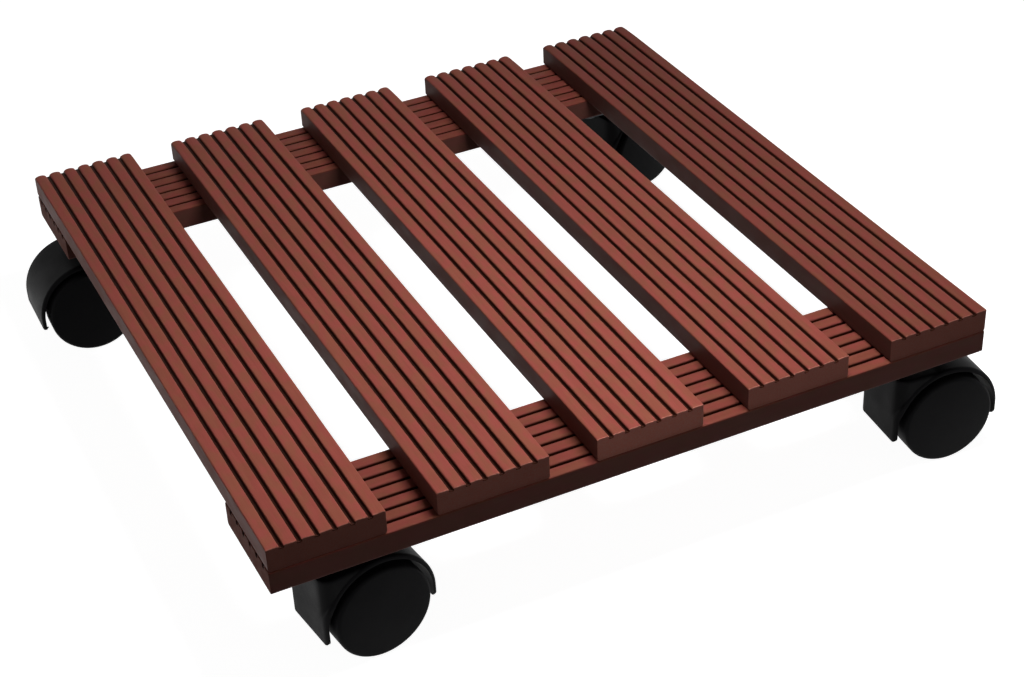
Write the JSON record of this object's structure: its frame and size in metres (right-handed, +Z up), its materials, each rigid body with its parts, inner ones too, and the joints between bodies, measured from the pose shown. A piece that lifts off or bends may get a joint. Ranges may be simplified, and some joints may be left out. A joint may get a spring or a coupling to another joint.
{
  "type": "plant dolly",
  "caption": "Square slatted plant stand on two cross rails with hooded twin-wheel swivel casters at its corners.",
  "frame": {"origin": "on the floor under the middle of the deck", "axes": "+X along the cross rails, +Y along the slats from the front to the back, +Z up"},
  "size_m": [0.3322, 0.2983, 0.0723],
  "materials": {
    "slat_wood": "oiled red-brown deck board, satin, fine streaks along the ridges",
    "rail_wood": "the same deck board in the shade of the slats",
    "screw_steel": "zinc-plated screws with a cross recess",
    "plate_zinc": "pressed sheet steel, bright zinc plating",
    "pin_steel": "turned steel",
    "hood_plastic": "black moulded plastic with a fine spark-eroded grain",
    "wheel_plastic": "black moulded plastic, smooth satin disc and slightly scuffed tread"
  },
  "bodies": {
    "deck": {"slat_1": "slat_wood", "slat_2": "slat_wood", "slat_3": "slat_wood", "slat_4": "slat_wood", "slat_5": "slat_wood", "rail_front": "rail_wood", "rail_back": "rail_wood", "slat_screws_front": "screw_steel", "slat_screws_back": "screw_steel", "top_plate_fl": "plate_zinc", "plate_screws_fl": "screw_steel", "kingpin_fl": "pin_steel", "grip_ring_fl": "pin_steel", "top_plate_fr": "plate_zinc", "plate_screws_fr": "screw_steel", "kingpin_fr": "pin_steel", "grip_ring_fr": "pin_steel", "top_plate_bl": "plate_zinc", "plate_screws_bl": "screw_steel", "kingpin_bl": "pin_steel", "grip_ring_bl": "pin_steel", "top_plate_br": "plate_zinc", "plate_screws_br": "screw_steel", "kingpin_br": "pin_steel", "grip_ring_br": "pin_steel"},
    "swivel_fl": {"hood_fl": "hood_plastic", "axle_fl": "pin_steel"},
    "wheel_fl_left": {"wheel_fl_left": "wheel_plastic"},
    "wheel_fl_right": {"wheel_fl_right": "wheel_plastic"},
    "swivel_fr": {"hood_fr": "hood_plastic", "axle_fr": "pin_steel"},
    "wheel_fr_left": {"wheel_fr_left": "wheel_plastic"},
    "wheel_fr_right": {"wheel_fr_right": "wheel_plastic"},
    "swivel_bl": {"hood_bl": "hood_plastic", "axle_bl": "pin_steel"},
    "wheel_bl_left": {"wheel_bl_left": "wheel_plastic"},
    "wheel_bl_right": {"wheel_bl_right": "wheel_plastic"},
    "swivel_br": {"hood_br": "hood_plastic", "axle_br": "pin_steel"},
    "wheel_br_left": {"wheel_br_left": "wheel_plastic"},
    "wheel_br_right": {"wheel_br_right": "wheel_plastic"}
  },
  "joints": [
    {"name": "swivel_fl_turn", "type": "hinge", "parent": "deck", "child": "swivel_fl", "pos_m": [-0.1251, -0.1252, 0.045], "axis": [0, 0, 1], "continuous": true},
    {"name": "wheel_fl_left_roll", "type": "hinge", "parent": "swivel_fl", "child": "wheel_fl_left", "pos_m": [-0.10862, -0.12318, 0.0197], "axis": [-0.1219, 0.9925, 0], "continuous": true},
    {"name": "wheel_fl_right_roll", "type": "hinge", "parent": "swivel_fl", "child": "wheel_fl_right", "pos_m": [-0.10862, -0.12318, 0.0197], "axis": [-0.1219, 0.9925, 0], "continuous": true},
    {"name": "swivel_fr_turn", "type": "hinge", "parent": "deck", "child": "swivel_fr", "pos_m": [0.1251, -0.1252, 0.045], "axis": [0, 0, 1], "continuous": true},
    {"name": "wheel_fr_left_roll", "type": "hinge", "parent": "swivel_fr", "child": "wheel_fr_left", "pos_m": [0.14164, -0.12665, 0.0197], "axis": [0.0872, 0.9962, 0], "continuous": true},
    {"name": "wheel_fr_right_roll", "type": "hinge", "parent": "swivel_fr", "child": "wheel_fr_right", "pos_m": [0.14164, -0.12665, 0.0197], "axis": [0.0872, 0.9962, 0], "continuous": true},
    {"name": "swivel_bl_turn", "type": "hinge", "parent": "deck", "child": "swivel_bl", "pos_m": [-0.1251, 0.1252, 0.045], "axis": [0, 0, 1], "continuous": true},
    {"name": "wheel_bl_left_roll", "type": "hinge", "parent": "swivel_bl", "child": "wheel_bl_left", "pos_m": [-0.1417, 0.12549, 0.0197], "axis": [-0.0175, -0.9998, 0], "continuous": true},
    {"name": "wheel_bl_right_roll", "type": "hinge", "parent": "swivel_bl", "child": "wheel_bl_right", "pos_m": [-0.1417, 0.12549, 0.0197], "axis": [-0.0175, -0.9998, 0], "continuous": true},
    {"name": "swivel_br_turn", "type": "hinge", "parent": "deck", "child": "swivel_br", "pos_m": [0.1251, 0.1252, 0.045], "axis": [0, 0, 1], "continuous": true},
    {"name": "wheel_br_left_roll", "type": "hinge", "parent": "swivel_br", "child": "wheel_br_left", "pos_m": [0.14113, 0.1295, 0.0197], "axis": [-0.2588, 0.9659, 0], "continuous": true},
    {"name": "wheel_br_right_roll", "type": "hinge", "parent": "swivel_br", "child": "wheel_br_right", "pos_m": [0.14113, 0.1295, 0.0197], "axis": [-0.2588, 0.9659, 0], "continuous": true}
  ]
}
